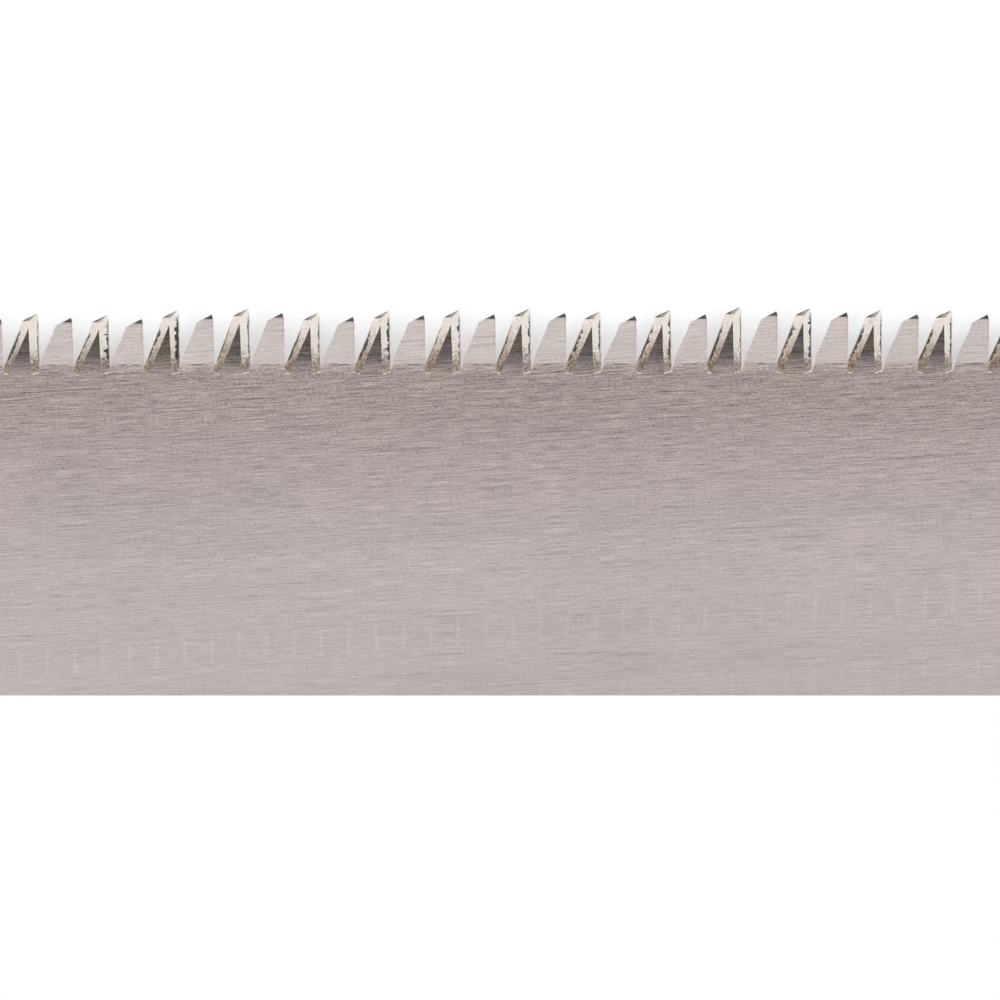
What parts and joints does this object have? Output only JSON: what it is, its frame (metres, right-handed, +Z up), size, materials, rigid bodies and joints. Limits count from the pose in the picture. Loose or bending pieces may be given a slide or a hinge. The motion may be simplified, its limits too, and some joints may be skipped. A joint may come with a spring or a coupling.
{
  "type": "ryoba saw",
  "caption": "Pull saw with crosscut teeth on one edge and rip teeth on the other, its clamped, replaceable blade in a rattan-wound wooden handle.",
  "frame": {"origin": "under the middle of the saw's box, on the surface it lies on", "axes": "+X from the toe of the blade to the butt of the handle, +Y to the crosscut edge, +Z up, square to the blade"},
  "size_m": [0.605, 0.0955, 0.0297],
  "materials": {
    "saw_steel": "ground along its length, bright where the teeth are filed",
    "holder_steel": "satin plated",
    "fastener_steel": "bright plated",
    "pin_steel": "plain",
    "paulownia": "bare",
    "rattan_peel": "clear lacquer",
    "cap_plastic": "fine matt"
  },
  "bodies": {
    "handle": {"holder_cheek_top": "holder_steel", "holder_cheek_bottom": "holder_steel", "holder_spacer": "holder_steel", "holder_rivet_front_left": "fastener_steel", "holder_rivet_front_right": "fastener_steel", "holder_rivet_rear_left": "fastener_steel", "holder_rivet_rear_right": "fastener_steel", "clamp_nut": "fastener_steel", "ferrule": "holder_steel", "ferrule_nail_top": "fastener_steel", "ferrule_nail_bottom": "fastener_steel", "handle_half_top": "paulownia", "handle_half_bottom": "paulownia", "handle_pin_front": "pin_steel", "handle_pin_rear": "pin_steel", "rattan_wrap": "rattan_peel", "end_cap": "cap_plastic", "end_cap_screw": "fastener_steel"},
    "blade": {"blade": "saw_steel"},
    "clamp_washer": {"clamp_washer": "fastener_steel"},
    "clamp_screw": {"clamp_screw": "fastener_steel"}
  },
  "joints": [
    {"name": "blade_pull_out", "type": "slide", "parent": "handle", "child": "blade", "axis": [-1, 0, 0], "range_m": [0, 0.05]},
    {"name": "clamp_lift", "type": "slide", "parent": "handle", "child": "clamp_washer", "axis": [0, 0, 1], "range_m": [0, 0.0016]},
    {"name": "clamp_turn", "type": "hinge", "parent": "clamp_washer", "child": "clamp_screw", "pos_m": [0.0185, 0, 0.0149], "axis": [0, 0, 1], "range_deg": [0, 720]}
  ],
  "couplings": [
    {"joint": "clamp_turn", "follows": "clamp_lift", "rad_per_m": 7854}
  ]
}
